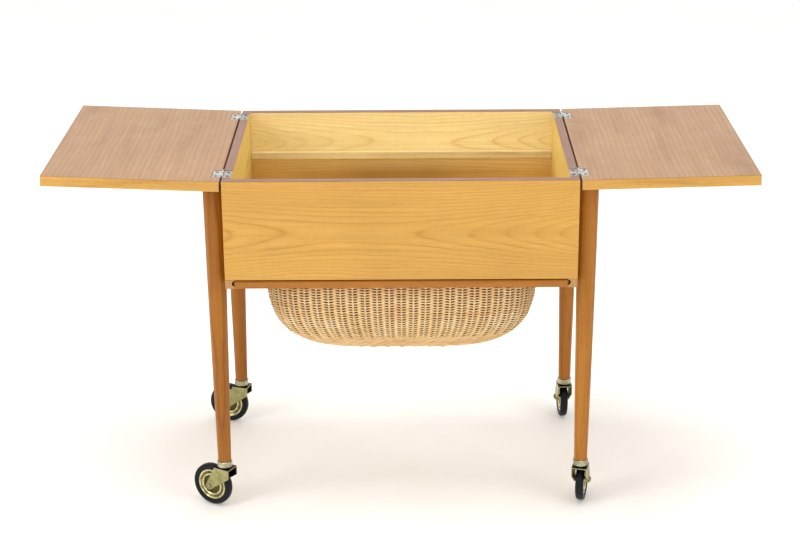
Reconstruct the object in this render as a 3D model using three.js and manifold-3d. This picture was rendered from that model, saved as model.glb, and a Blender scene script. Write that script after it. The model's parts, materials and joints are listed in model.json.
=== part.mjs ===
// Sewing trolley: an open wooden box on four round legs and castors, with two fold-over leaves and a
// wicker basket that hangs in a frame and slides out forwards under the box.
// Millimetres, +Z up, front towards -Y. The origin is on the floor under the middle of the footprint.
import * as THREE from "three";
import Module from "manifold-3d";
import { mergeVertices } from "three/addons/utils/BufferGeometryUtils.js";

const wasm = await Module();
wasm.setup();

const GAP = 0.3; // between pieces that touch
const EDGE_OVERRUN = 10; // how far a cutter reaches past what it cuts

// The box
const CASE_WIDTH = 570;
const CASE_DEPTH = 426;
const CASE_HEIGHT = 167;
const RIM_Z = 595;
const PANEL = 14;
const CASE_BOTTOM_Z = RIM_Z - CASE_HEIGHT;
const HALF_W = CASE_WIDTH / 2;
const HALF_D = CASE_DEPTH / 2;
const FLOOR_THICK = 5;
const FLOOR_Z = CASE_BOTTOM_Z + 6;

// Ledges on the front and back walls, inside
const LEDGE_DROP = 72;
const LEDGE_HEIGHT = 12;
const LEDGE_PROUD = 10;

// Leaves
const LEAF_THICK = 17.4;
const LEAF_GAP = 1.5; // leaf edge to hinge axis, and hinge axis to box side
const LEAF_LENGTH = 284;
const LEFT_TILT = 2.3; // degrees above level when open
const RIGHT_TILT = 1.3;
const AXIS_ABOVE_RIM = 0.25;
const AXIS_X = HALF_W + LEAF_GAP;
const AXIS_Z = RIM_Z + AXIS_ABOVE_RIM;

// Hinges
const HINGE_LENGTH = 35;
const HINGE_Y = 171;
const PLATE_WIDTH = 12.6;
const PLATE_THICK = 1.6;
const MORTISE_DEPTH = 2.4;
const MORTISE_MARGIN = 1;
const KNUCKLE_R = 2.2;
const BORE_R = 1.25;
const PIN_R = 0.95;
const KNUCKLES = 5;
const KNUCKLE_SPACE = 0.4;
const PLATE_NEAR = KNUCKLE_R + GAP; // hinge axis to the plate's near edge
const MORTISE_REACH = PLATE_NEAR + PLATE_WIDTH + 0.5;

// Legs
const LEG_TOP_R = 17;
const LEG_MID_R = 15.5;
const LEG_FOOT_R = 11.1;
const LEG_OUTBOARD = 17.3;
const LEG_INSET_Y = 40.5;
const LEG_MID_Z = 396;
const LEG_FOOT_Z = 87.5;
const LEG_TOP_Z = AXIS_Z - AXIS_ABOVE_RIM - LEAF_THICK - GAP;
const LEG_X = HALF_W + LEG_OUTBOARD;
const LEG_Y = HALF_D - LEG_INSET_Y;

// Runners and the basket frame that slides in them
const RUNNER_WIDTH = 15.5;
const RUNNER_HEIGHT = 14.5;
const GROOVE_R = 4.75;
const GROOVE_DROP = 6.4; // groove axis below the box
const GROOVE_STOP = 12; // the groove is blind at the back
const TONGUE_R = 4.2;
const TONGUE_REACH = 2;
const FRAME_HEIGHT = 13.5;
const FRAME_DROP = 2.6;
const RAIL_DEPTH = 28;
const NOSE_R = 5;
const SIDE_PLAY = 0.5;
const FRAME_HALF_W = HALF_W - RUNNER_WIDTH - SIDE_PLAY;
const FRAME_TOP_Z = CASE_BOTTOM_Z - FRAME_DROP;
const FRAME_BACK_Y = HALF_D - GROOVE_STOP - 1;
const GROOVE_Z = CASE_BOTTOM_Z - GROOVE_DROP;

// Basket
const BASKET_HALF_W = 229.5;
const BASKET_HALF_D = (HALF_D + FRAME_BACK_Y) / 2 - RAIL_DEPTH - GAP;
const BASKET_DEPTH = 157.5;
const BASKET_WALL = 5;
const BASKET_SQUARENESS = 5; // exponent of the plan outline
const BASKET_FULLNESS = 3.05; // exponent of the side outline
const BASKET_AROUND = 48;
const BASKET_RINGS = 9;

// Castors
const WHEEL_R = 37;
const TYRE_WIDTH = 14;
const TYRE_INNER_R = 28;
const TRAIL = 26;
const HUB_HALF = 10.4;
const AXLE_R = 3;
const AXLE_HEAD_R = 5;
const AXLE_HEAD = 2.4;
const CHEEK_THICK = 2;
const FORK_WIDTH = 26.4;
const CROWN_Z = 72.1;
const CROWN_TOP_Z = 74.6;
// Places along the fork, from the stem axis towards the wheel
const CROWN_BACK = -15;
const CROWN_FRONT = 4;
const CHEEK_FRONT = 13.5;
const CHEEK_LIP = 16; // height of the cheek's back edge
const BOSS_R = 6.5;
const FERRULE_Z = 77;
const FERRULE_R = 12.9;
const STEM_R = 5;
const NECK_R = 8.5;
// Which way each castor trails, in degrees anticlockwise from the right
const CASTORS = [
  { name: "castor_fl", x: -1, y: -1, turn: 150 },
  { name: "castor_fr", x: 1, y: -1, turn: 77 },
  { name: "castor_bl", x: -1, y: 1, turn: 163 },
  { name: "castor_br", x: 1, y: 1, turn: 93 },
];
// A rear wheel stands out behind the box, so the middle of the footprint lies behind the box's.
const CASE_CENTRE_Y = -(TRAIL + WHEEL_R - LEG_INSET_Y) / 2;

const paint = (color, roughness, metalness = 0) =>
  new THREE.MeshStandardMaterial({ color, roughness, metalness });
const honeyWood = paint(0xe0ab58, 0.45);
const leafWood = paint(0xcfa684, 0.45);
const legWood = paint(0xc7843c, 0.4);
const paleWood = paint(0xe2bd84, 0.5);
const wicker = paint(0xe3bb80, 0.7);
const nickel = paint(0xd9dadb, 0.28, 1);
const brass = paint(0xb9a765, 0.3, 1);
const darkSteel = paint(0x3f3a33, 0.45, 1);
const rubber = paint(0x24292d, 0.6);

const meshOf = (name, geometry, material) => {
  const mesh = new THREE.Mesh(geometry, material);
  mesh.name = name;
  return mesh;
};

const placed = (object, x, y, z) => {
  object.position.set(x, y, z);
  return object;
};

const ascending = (a, b) => (a < b ? [a, b] : [b, a]);

// A three.js geometry as a solid that can be joined and cut.
function solid(geometry) {
  const bare = new THREE.BufferGeometry();
  bare.setAttribute("position", geometry.getAttribute("position"));
  if (geometry.index) bare.setIndex(geometry.index);
  const merged = mergeVertices(bare, 1e-4);
  return new wasm.Manifold(
    new wasm.Mesh({
      numProp: 3,
      vertProperties: merged.attributes.position.array,
      triVerts: new Uint32Array(merged.index.array),
    }),
  );
}

// A joined or cut solid as flat-shaded three.js geometry.
function geometryOf(shape) {
  const made = shape.getMesh();
  const indexed = new THREE.BufferGeometry();
  indexed.setAttribute("position", new THREE.BufferAttribute(made.vertProperties, 3));
  indexed.setIndex(new THREE.BufferAttribute(made.triVerts, 1));
  const flat = indexed.toNonIndexed();
  flat.computeVertexNormals();
  return flat;
}

// A box given by its low and high corners.
function boxBetween([x0, y0, z0], [x1, y1, z1]) {
  const box = new THREE.BoxGeometry(x1 - x0, y1 - y0, z1 - z0);
  return box.translate((x0 + x1) / 2, (y0 + y1) / 2, (z0 + z1) / 2);
}

// A round bar along Y.
function barAlongY(radius, length, segments) {
  return new THREE.CylinderGeometry(radius, radius, length, segments);
}

// A solid turned about Z from [radius, height] pairs that start and end on the axis, or close.
function turned(profile, segments) {
  const points = profile.map(([r, z]) => new THREE.Vector2(r, z));
  return new THREE.LatheGeometry(points, segments).rotateX(Math.PI / 2);
}

function cutMortises(panel, side, axisX, topZ) {
  const halfLength = HINGE_LENGTH / 2 + MORTISE_MARGIN;
  return [-HINGE_Y, HINGE_Y].reduce((shape, y) => {
    const xs = ascending(axisX, axisX + side * MORTISE_REACH);
    const low = [xs[0], y - halfLength, topZ - MORTISE_DEPTH];
    const high = [xs[1], y + halfLength, topZ + MORTISE_DEPTH];
    return shape.subtract(solid(boxBetween(low, high)));
  }, panel);
}

function endPanel(name, side) {
  const y = side * (HALF_D - PANEL / 2);
  const panel = new THREE.BoxGeometry(CASE_WIDTH, PANEL, CASE_HEIGHT);
  return placed(meshOf(name, panel, honeyWood), 0, y, RIM_Z - CASE_HEIGHT / 2);
}

function sidePanel(name, side) {
  const halfLength = HALF_D - PANEL - GAP;
  const xs = ascending(side * HALF_W, side * (HALF_W - PANEL));
  const board = boxBetween(
    [xs[0], -halfLength, CASE_BOTTOM_Z],
    [xs[1], halfLength, RIM_Z],
  );
  const cut = cutMortises(solid(board), -side, side * AXIS_X, RIM_Z);
  return meshOf(name, geometryOf(cut), honeyWood);
}

function floorPanel() {
  const halfX = HALF_W - PANEL - GAP;
  const halfY = HALF_D - PANEL - GAP;
  const board = boxBetween([-halfX, -halfY, FLOOR_Z], [halfX, halfY, FLOOR_Z + FLOOR_THICK]);
  return meshOf("floor_panel", board, paleWood);
}

function ledge(name, side) {
  const width = 2 * (HALF_W - PANEL - GAP);
  const strip = new THREE.BoxGeometry(width, LEDGE_PROUD, LEDGE_HEIGHT);
  const y = side * (HALF_D - PANEL - GAP - LEDGE_PROUD / 2);
  const z = RIM_Z - LEDGE_DROP - LEDGE_HEIGHT / 2;
  return placed(meshOf(name, strip, paleWood), 0, y, z);
}

function runner(name, side) {
  const top = CASE_BOTTOM_Z - GAP;
  const xs = ascending(side * HALF_W, side * (HALF_W - RUNNER_WIDTH));
  const block = boxBetween([xs[0], -HALF_D, top - RUNNER_HEIGHT], [xs[1], HALF_D, top]);
  const length = CASE_DEPTH - GROOVE_STOP + EDGE_OVERRUN;
  const groove = barAlongY(GROOVE_R, length, 28);
  groove.translate(side * (HALF_W - RUNNER_WIDTH), HALF_D - GROOVE_STOP - length / 2, GROOVE_Z);
  return meshOf(name, geometryOf(solid(block).subtract(solid(groove))), paleWood);
}

// A half-round tongue on the side of the frame, from y0 to y1.
function tongue(side, y0, y1) {
  const bar = barAlongY(TONGUE_R, y1 - y0, 20);
  bar.translate(side * (FRAME_HALF_W + TONGUE_REACH - TONGUE_R), (y0 + y1) / 2, GROOVE_Z);
  return solid(bar);
}

function frameRail(name, y0, y1, noseR) {
  const z0 = FRAME_TOP_Z - FRAME_HEIGHT;
  const section = new THREE.Shape();
  section.moveTo(y1, z0);
  section.lineTo(y1, FRAME_TOP_Z);
  section.lineTo(y0 + noseR, FRAME_TOP_Z);
  section.absarc(y0 + noseR, FRAME_TOP_Z - noseR, noseR, Math.PI / 2, Math.PI, false);
  section.absarc(y0 + noseR, z0 + noseR, noseR, Math.PI, 1.5 * Math.PI, false);
  section.closePath();
  const options = { depth: 2 * FRAME_HALF_W, bevelEnabled: false, curveSegments: 6 };
  // The section's axes, Y and Z, are turned from the extrusion's X and Y.
  const turn = new THREE.Matrix4().makeBasis(
    new THREE.Vector3(0, 1, 0),
    new THREE.Vector3(0, 0, 1),
    new THREE.Vector3(1, 0, 0),
  );
  const rail = new THREE.ExtrudeGeometry(section, options);
  rail.translate(0, 0, -FRAME_HALF_W).applyMatrix4(turn);
  const joined = [-1, 1].reduce(
    (shape, side) => shape.add(tongue(side, y0 + noseR / 2, y1)),
    solid(rail),
  );
  return meshOf(name, geometryOf(joined), legWood);
}

function frameSide(name, side) {
  const y0 = -HALF_D + RAIL_DEPTH + GAP;
  const y1 = FRAME_BACK_Y - RAIL_DEPTH - GAP;
  const inner = BASKET_HALF_W + GAP;
  const xs = ascending(side * inner, side * FRAME_HALF_W);
  const bar = boxBetween([xs[0], y0, FRAME_TOP_Z - FRAME_HEIGHT], [xs[1], y1, FRAME_TOP_Z]);
  return meshOf(name, geometryOf(solid(bar).add(tongue(side, y0, y1))), legWood);
}

// One ring of the basket: the plan outline shrunk to fit the depth below its top edge.
function basketRing(halfW, halfD, z) {
  const ring = [];
  for (let i = 0; i < BASKET_AROUND; i++) {
    const angle = (2 * Math.PI * i) / BASKET_AROUND;
    const squared = (v) => Math.sign(v) * Math.abs(v) ** (2 / BASKET_SQUARENESS);
    ring.push([halfW * squared(Math.cos(angle)), halfD * squared(Math.sin(angle)), z]);
  }
  return ring;
}

function bowlRings(halfW, halfD, depth, topZ) {
  const rings = [];
  for (let i = 0; i < BASKET_RINGS; i++) {
    const angle = (0.5 * Math.PI * i) / BASKET_RINGS;
    const fall = Math.sin(angle) ** (2 / BASKET_FULLNESS);
    const shrink = Math.cos(angle) ** (2 / BASKET_FULLNESS);
    rings.push(basketRing(halfW * shrink, halfD * shrink, topZ - depth * fall));
  }
  return rings;
}

function basketShell(centreY) {
  const lift = FRAME_HEIGHT;
  const rimZ = FRAME_TOP_Z - 1;
  const hangZ = FRAME_TOP_Z - lift;
  const outer = bowlRings(BASKET_HALF_W, BASKET_HALF_D, BASKET_DEPTH, hangZ);
  const innerW = BASKET_HALF_W - BASKET_WALL;
  const innerD = BASKET_HALF_D - BASKET_WALL;
  const inner = bowlRings(innerW, innerD, BASKET_DEPTH - BASKET_WALL, hangZ);
  const rings = [
    ...outer.slice().reverse(),
    basketRing(BASKET_HALF_W, BASKET_HALF_D, rimZ),
    basketRing(innerW, innerD, rimZ),
    ...inner,
  ];
  const positions = rings.flat(2);
  const low = [0, 0, hangZ - BASKET_DEPTH];
  const lowInside = [0, 0, hangZ - BASKET_DEPTH + BASKET_WALL];
  positions.push(...low, ...lowInside);
  const lowIndex = rings.length * BASKET_AROUND;
  const index = [];
  for (let r = 0; r + 1 < rings.length; r++) {
    for (let i = 0; i < BASKET_AROUND; i++) {
      const j = (i + 1) % BASKET_AROUND;
      const a = r * BASKET_AROUND;
      const b = a + BASKET_AROUND;
      index.push(a + i, a + j, b + j, a + i, b + j, b + i);
    }
  }
  const last = (rings.length - 1) * BASKET_AROUND;
  for (let i = 0; i < BASKET_AROUND; i++) {
    const j = (i + 1) % BASKET_AROUND;
    index.push(lowIndex, j, i);
    index.push(lowIndex + 1, last + i, last + j);
  }
  const shell = new THREE.BufferGeometry();
  shell.setAttribute("position", new THREE.Float32BufferAttribute(positions, 3));
  shell.setIndex(index);
  shell.translate(0, centreY, 0);
  shell.computeVertexNormals();
  return shell;
}

function basketDrawer() {
  const drawer = new THREE.Group();
  drawer.name = "basket_drawer";
  const frontY = -HALF_D + RAIL_DEPTH;
  const backY = FRAME_BACK_Y - RAIL_DEPTH;
  drawer.add(
    frameRail("frame_front_rail", -HALF_D, frontY, NOSE_R),
    frameRail("frame_back_rail", backY, FRAME_BACK_Y, 1),
    frameSide("frame_side_left", -1),
    frameSide("frame_side_right", 1),
    meshOf("basket", basketShell((frontY + backY) / 2), wicker),
  );
  return drawer;
}

function leg(name) {
  const profile = [
    [0, LEG_FOOT_Z],
    [LEG_FOOT_R, LEG_FOOT_Z],
    [LEG_MID_R, LEG_MID_Z],
    [LEG_TOP_R, LEG_TOP_Z - 2],
    [LEG_TOP_R - 1, LEG_TOP_Z],
    [0, LEG_TOP_Z],
  ];
  return meshOf(name, turned(profile, 28), legWood);
}

// One side of a hinge, in a frame whose origin is the hinge axis: a plate and every other knuckle.
function hingePlate(name, side, firstKnuckle) {
  const top = -AXIS_ABOVE_RIM - (MORTISE_DEPTH - PLATE_THICK - GAP);
  const xs = ascending(side * PLATE_NEAR, side * (PLATE_NEAR + PLATE_WIDTH));
  const half = HINGE_LENGTH / 2;
  let plate = solid(boxBetween([xs[0], -half, top - PLATE_THICK], [xs[1], half, top]));
  const pitch = HINGE_LENGTH / KNUCKLES;
  const length = pitch - KNUCKLE_SPACE;
  for (let k = firstKnuckle; k < KNUCKLES; k += 2) {
    const y = -half + (k + 0.5) * pitch;
    const tabX = ascending(0, side * (PLATE_NEAR + 1));
    const tab = boxBetween([tabX[0], y - length / 2, -KNUCKLE_R], [tabX[1], y + length / 2, top]);
    const barrel = barAlongY(KNUCKLE_R, length, 12).translate(0, y, 0);
    plate = plate.add(solid(tab)).add(solid(barrel));
  }
  const bore = barAlongY(BORE_R, HINGE_LENGTH + EDGE_OVERRUN, 12);
  return meshOf(name, geometryOf(plate.subtract(solid(bore))), nickel);
}

function hingePin(name) {
  return meshOf(name, barAlongY(PIN_R, HINGE_LENGTH, 12), nickel);
}

function leaf(name, side, tilt) {
  const group = placed(new THREE.Group(), side * AXIS_X, 0, AXIS_Z);
  group.name = name + "_body";
  group.rotation.y = THREE.MathUtils.degToRad(-side * tilt);
  const xs = ascending(side * LEAF_GAP, side * (LEAF_GAP + LEAF_LENGTH));
  const board = boxBetween(
    [xs[0], -HALF_D, -AXIS_ABOVE_RIM - LEAF_THICK],
    [xs[1], HALF_D, -AXIS_ABOVE_RIM],
  );
  const cut = cutMortises(solid(board), side, 0, -AXIS_ABOVE_RIM);
  group.add(meshOf(name, geometryOf(cut), leafWood));
  const hand = side < 0 ? "left" : "right";
  group.add(placed(hingePlate(`hinge_${hand}_front_leaf_plate`, side, 1), 0, -HINGE_Y, 0));
  group.add(placed(hingePlate(`hinge_${hand}_back_leaf_plate`, side, 1), 0, HINGE_Y, 0));
  return group;
}

function fixedHinge(hand, place, side) {
  const group = placed(new THREE.Group(), side * AXIS_X, place * HINGE_Y, AXIS_Z);
  const end = place < 0 ? "front" : "back";
  group.add(hingePlate(`hinge_${hand}_${end}_rim_plate`, -side, 0));
  group.add(hingePin(`hinge_${hand}_${end}_pin`));
  return group;
}

function ferrule(name) {
  const top = LEG_FOOT_Z - GAP;
  const bore = STEM_R + 0.4;
  const profile = [
    [0, top],
    [0, top - 1.8],
    [bore, top - 1.8],
    [bore, FERRULE_Z],
    [FERRULE_R, FERRULE_Z],
    [FERRULE_R, top - 1.2],
    [FERRULE_R - 1.2, top],
    [0, top],
  ];
  return meshOf(name, turned(profile, 24), nickel);
}

function castorStem(name) {
  const profile = [
    [0, CROWN_TOP_Z + GAP],
    [NECK_R, CROWN_TOP_Z + GAP],
    [NECK_R, FERRULE_Z - GAP],
    [STEM_R, FERRULE_Z - GAP],
    [STEM_R, LEG_FOOT_Z - 2.6],
    [0, LEG_FOOT_Z - 2.6],
  ];
  return meshOf(name, turned(profile, 20), darkSteel);
}

// The pressed fork, trailing towards +X from the stem axis.
function castorFork(name) {
  const half = FORK_WIDTH / 2;
  const crown = boxBetween([CROWN_BACK, -half, CROWN_Z], [CROWN_FRONT, half, CROWN_TOP_Z]);
  // The cheek narrows from the crown to a round boss at the axle.
  const bossStart = THREE.MathUtils.degToRad(218);
  const bossEnd = THREE.MathUtils.degToRad(372);
  const bossX = TRAIL + BOSS_R * Math.cos(bossStart);
  const bossZ = WHEEL_R + BOSS_R * Math.sin(bossStart);
  const cheek = new THREE.Shape();
  cheek.moveTo(CROWN_BACK, CROWN_TOP_Z);
  cheek.lineTo(CROWN_BACK, CROWN_TOP_Z - CHEEK_LIP);
  cheek.lineTo(bossX, bossZ);
  cheek.absarc(TRAIL, WHEEL_R, BOSS_R, bossStart, bossEnd, false);
  cheek.lineTo(CHEEK_FRONT, CROWN_TOP_Z);
  cheek.closePath();
  const hole = new THREE.Path();
  hole.absarc(TRAIL, WHEEL_R, AXLE_R + GAP, 0, 2 * Math.PI, true);
  cheek.holes.push(hole);
  const options = { depth: CHEEK_THICK, bevelEnabled: false, curveSegments: 8 };
  let fork = solid(crown);
  for (const y of [half, -half + CHEEK_THICK]) {
    const plate = new THREE.ExtrudeGeometry(cheek, options).rotateX(Math.PI / 2);
    fork = fork.add(solid(plate.translate(0, y, 0)));
  }
  return meshOf(name, geometryOf(fork), brass);
}

function castorAxle(name) {
  const headIn = FORK_WIDTH / 2 + GAP;
  const headOut = headIn + AXLE_HEAD;
  const profile = [
    [0, -headOut],
    [AXLE_HEAD_R, -headOut],
    [AXLE_HEAD_R, -headIn],
    [AXLE_R, -headIn],
    [AXLE_R, headIn],
    [AXLE_HEAD_R, headIn],
    [AXLE_HEAD_R, headOut],
    [0, headOut],
  ];
  const axle = turned(profile, 16).rotateX(Math.PI / 2);
  return placed(meshOf(name, axle, darkSteel), TRAIL, 0, WHEEL_R);
}

// A closed profile from one half's [radius, half thickness] pairs, from bore to rim.
function mirroredProfile(half) {
  const mirrored = half.map(([r, h]) => [r, -h]);
  return [...mirrored, ...half.slice().reverse(), mirrored[0]];
}

function wheelDisc(name) {
  const bore = AXLE_R + GAP;
  // The dished disc, from hub to rim
  const steps = [
    [bore, HUB_HALF],
    [7.5, HUB_HALF],
    [8.5, 5],
    [16, 3.4],
    [18, 5],
    [TYRE_INNER_R - GAP, 5.4],
  ];
  const disc = turned(mirroredProfile(steps), 32).rotateX(Math.PI / 2);
  return placed(meshOf(name, disc, brass), TRAIL, 0, WHEEL_R);
}

function wheelTyre(name) {
  const half = TYRE_WIDTH / 2;
  const section = [
    [TYRE_INNER_R, half],
    [WHEEL_R - 2.4, half],
    [WHEEL_R, half - 2.4],
  ];
  const tyre = turned(mirroredProfile(section), 48).rotateX(Math.PI / 2);
  return placed(meshOf(name, tyre, rubber), TRAIL, 0, WHEEL_R);
}

function castor({ name, x, y, turn }) {
  const group = placed(new THREE.Group(), x * LEG_X, y * LEG_Y, 0);
  group.add(ferrule(`${name}_ferrule`));
  const swivel = new THREE.Group();
  swivel.rotation.z = THREE.MathUtils.degToRad(turn);
  swivel.add(
    castorStem(`${name}_stem`),
    castorFork(`${name}_fork`),
    castorAxle(`${name}_axle`),
    wheelDisc(`${name}_wheel`),
    wheelTyre(`${name}_tyre`),
  );
  group.add(swivel);
  return group;
}

const trolley = new THREE.Group();
trolley.name = "trolley";
trolley.position.y = CASE_CENTRE_Y;
trolley.add(
  endPanel("front_panel", -1),
  endPanel("back_panel", 1),
  sidePanel("side_panel_left", -1),
  sidePanel("side_panel_right", 1),
  floorPanel(),
  ledge("ledge_front", -1),
  ledge("ledge_back", 1),
  runner("runner_left", -1),
  runner("runner_right", 1),
  basketDrawer(),
  leaf("leaf_left", -1, LEFT_TILT),
  leaf("leaf_right", 1, RIGHT_TILT),
);
for (const [hand, side] of [["left", -1], ["right", 1]]) {
  trolley.add(fixedHinge(hand, -1, side), fixedHinge(hand, 1, side));
  trolley.add(placed(leg(`leg_front_${hand}`), side * LEG_X, -LEG_Y, 0));
  trolley.add(placed(leg(`leg_back_${hand}`), side * LEG_X, LEG_Y, 0));
}
trolley.add(...CASTORS.map(castor));

const group = new THREE.Group();
group.name = "sewing_trolley";
group.add(trolley);
export default group;
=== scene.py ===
# Sewing trolley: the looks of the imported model. Metres, +Z up, front towards -Y.
import json
import math

import bpy
import numpy as np
from mathutils import Matrix, Vector


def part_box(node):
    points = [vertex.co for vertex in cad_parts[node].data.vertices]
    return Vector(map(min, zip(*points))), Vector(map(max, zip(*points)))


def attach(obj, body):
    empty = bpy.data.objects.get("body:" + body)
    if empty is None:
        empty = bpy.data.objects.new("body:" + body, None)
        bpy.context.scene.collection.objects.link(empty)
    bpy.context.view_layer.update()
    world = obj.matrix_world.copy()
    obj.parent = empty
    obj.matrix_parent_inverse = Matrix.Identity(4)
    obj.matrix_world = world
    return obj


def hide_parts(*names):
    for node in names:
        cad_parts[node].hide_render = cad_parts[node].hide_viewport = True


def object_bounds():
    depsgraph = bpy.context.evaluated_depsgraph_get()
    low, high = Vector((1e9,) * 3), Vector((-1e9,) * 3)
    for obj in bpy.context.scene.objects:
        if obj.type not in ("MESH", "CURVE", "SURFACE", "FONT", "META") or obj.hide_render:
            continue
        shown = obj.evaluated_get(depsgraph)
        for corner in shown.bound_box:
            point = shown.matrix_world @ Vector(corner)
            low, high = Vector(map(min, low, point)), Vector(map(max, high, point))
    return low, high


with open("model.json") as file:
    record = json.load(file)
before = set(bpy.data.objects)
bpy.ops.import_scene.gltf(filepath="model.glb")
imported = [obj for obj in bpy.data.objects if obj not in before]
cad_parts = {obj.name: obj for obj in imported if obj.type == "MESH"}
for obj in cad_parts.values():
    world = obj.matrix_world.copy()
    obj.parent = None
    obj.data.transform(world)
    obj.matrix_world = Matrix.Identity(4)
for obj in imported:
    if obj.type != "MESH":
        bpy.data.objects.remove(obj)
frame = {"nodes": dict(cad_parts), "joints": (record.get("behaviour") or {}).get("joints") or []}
cad_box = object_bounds()

MM = 0.001
JOINTS = {j["name"]: j for j in frame["joints"]}
NODES = frame["nodes"]

# Places read from the frame
FRONT_LO, FRONT_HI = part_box("front_panel")
BACK_LO, BACK_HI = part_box("back_panel")
SIDE_INNER_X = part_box("side_panel_right")[0].x
CENTRE_Y = (FRONT_LO.y + BACK_HI.y) / 2
HALF_W = FRONT_HI.x
RIM_Z = FRONT_HI.z
PANEL_Z = (FRONT_LO.z + FRONT_HI.z) / 2
INNER_HALF_D = (BACK_LO.y - FRONT_HI.y) / 2
HALF_DEPTH = (BACK_HI.y - FRONT_LO.y) / 2
LEDGE_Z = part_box("ledge_back")[0].z
FLOOR_LEVEL = cad_box[0].z
CASTORS = ("castor_fl", "castor_fr", "castor_bl", "castor_br")


def rgb(red, green, blue):
    """A colour given as it looks on screen, 0 to 255, as the shaders want it."""
    def linear(value):
        value /= 255
        return value / 12.92 if value <= 0.04045 else ((value + 0.055) / 1.055) ** 2.4
    return (linear(red), linear(green), linear(blue), 1.0)


# ---------------------------------------------------------------- camera, light and floor

LENS_MM = 83.78
EYE = Vector((14.2 * MM, CENTRE_Y - 3030.8 * MM, 1480 * MM))
PITCH, YAW, ROLL = math.radians(20.333), math.radians(-0.326), math.radians(-0.406)


def add_camera():
    data = bpy.data.cameras.new("camera")
    data.lens = LENS_MM
    data.sensor_width = 36
    data.clip_end = 50
    camera = bpy.data.objects.new("camera", data)
    bpy.context.scene.collection.objects.link(camera)
    forward = Vector((math.sin(YAW) * math.cos(PITCH), math.cos(YAW) * math.cos(PITCH), -math.sin(PITCH)))
    level = Vector((math.cos(YAW), -math.sin(YAW), 0))
    upright = level.cross(forward)
    right = math.cos(ROLL) * level + math.sin(ROLL) * upright
    up = -math.sin(ROLL) * level + math.cos(ROLL) * upright
    turn = Matrix((right, up, -forward)).transposed().to_4x4()
    camera.matrix_world = Matrix.Translation(EYE) @ turn
    bpy.context.scene.camera = camera


def add_area_light(name, place, target, size, power, colour=(1, 1, 1)):
    data = bpy.data.lights.new(name, "AREA")
    data.shape = "RECTANGLE"
    data.size, data.size_y = size
    data.energy = power
    data.color = colour
    lamp = bpy.data.objects.new(name, data)
    bpy.context.scene.collection.objects.link(lamp)
    aim = Vector(target) - Vector(place)
    lamp.matrix_world = Matrix.Translation(place) @ aim.to_track_quat("-Z", "Y").to_matrix().to_4x4()


def add_studio():
    scene = bpy.context.scene
    scene.view_settings.view_transform = "Standard"
    world = bpy.data.worlds.new("studio")
    world.use_nodes = True
    tree = world.node_tree
    # White towards the wall behind the trolley, dimmer towards the room in front of it
    direction = tree.nodes.new("ShaderNodeSeparateXYZ")
    tree.links.new(tree.nodes.new("ShaderNodeTexCoord").outputs["Generated"], direction.inputs[0])
    facing = tree.nodes.new("ShaderNodeMapRange")
    facing.inputs["From Min"].default_value = -0.5
    facing.inputs["From Max"].default_value = 0.4
    facing.inputs["To Min"].default_value = 0.3
    facing.inputs["To Max"].default_value = 1.0
    tree.links.new(direction.outputs["Y"], facing.inputs["Value"])
    background = tree.nodes["Background"]
    background.inputs["Color"].default_value = (0.99, 0.995, 1.0, 1)
    tree.links.new(facing.outputs["Result"], background.inputs["Strength"])
    scene.world = world
    middle = (0, CENTRE_Y, 0.45)
    add_area_light("left", (-2.5, -1.9, 1.9), middle, (1.6, 1.8), 43, (1, 0.99, 0.97))
    add_area_light("right", (2.5, -1.9, 1.9), middle, (1.6, 1.8), 24, (1, 0.99, 0.97))
    add_area_light("front", (-0.3, -3.6, 1.5), middle, (2.0, 1.2), 18, (0.98, 0.99, 1))
    add_area_light("top", (0, -0.3, 3.2), middle, (2.6, 1.8), 61)


# ---------------------------------------------------------------- shader building

COAT_ROUGHNESS = 0.25


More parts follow.
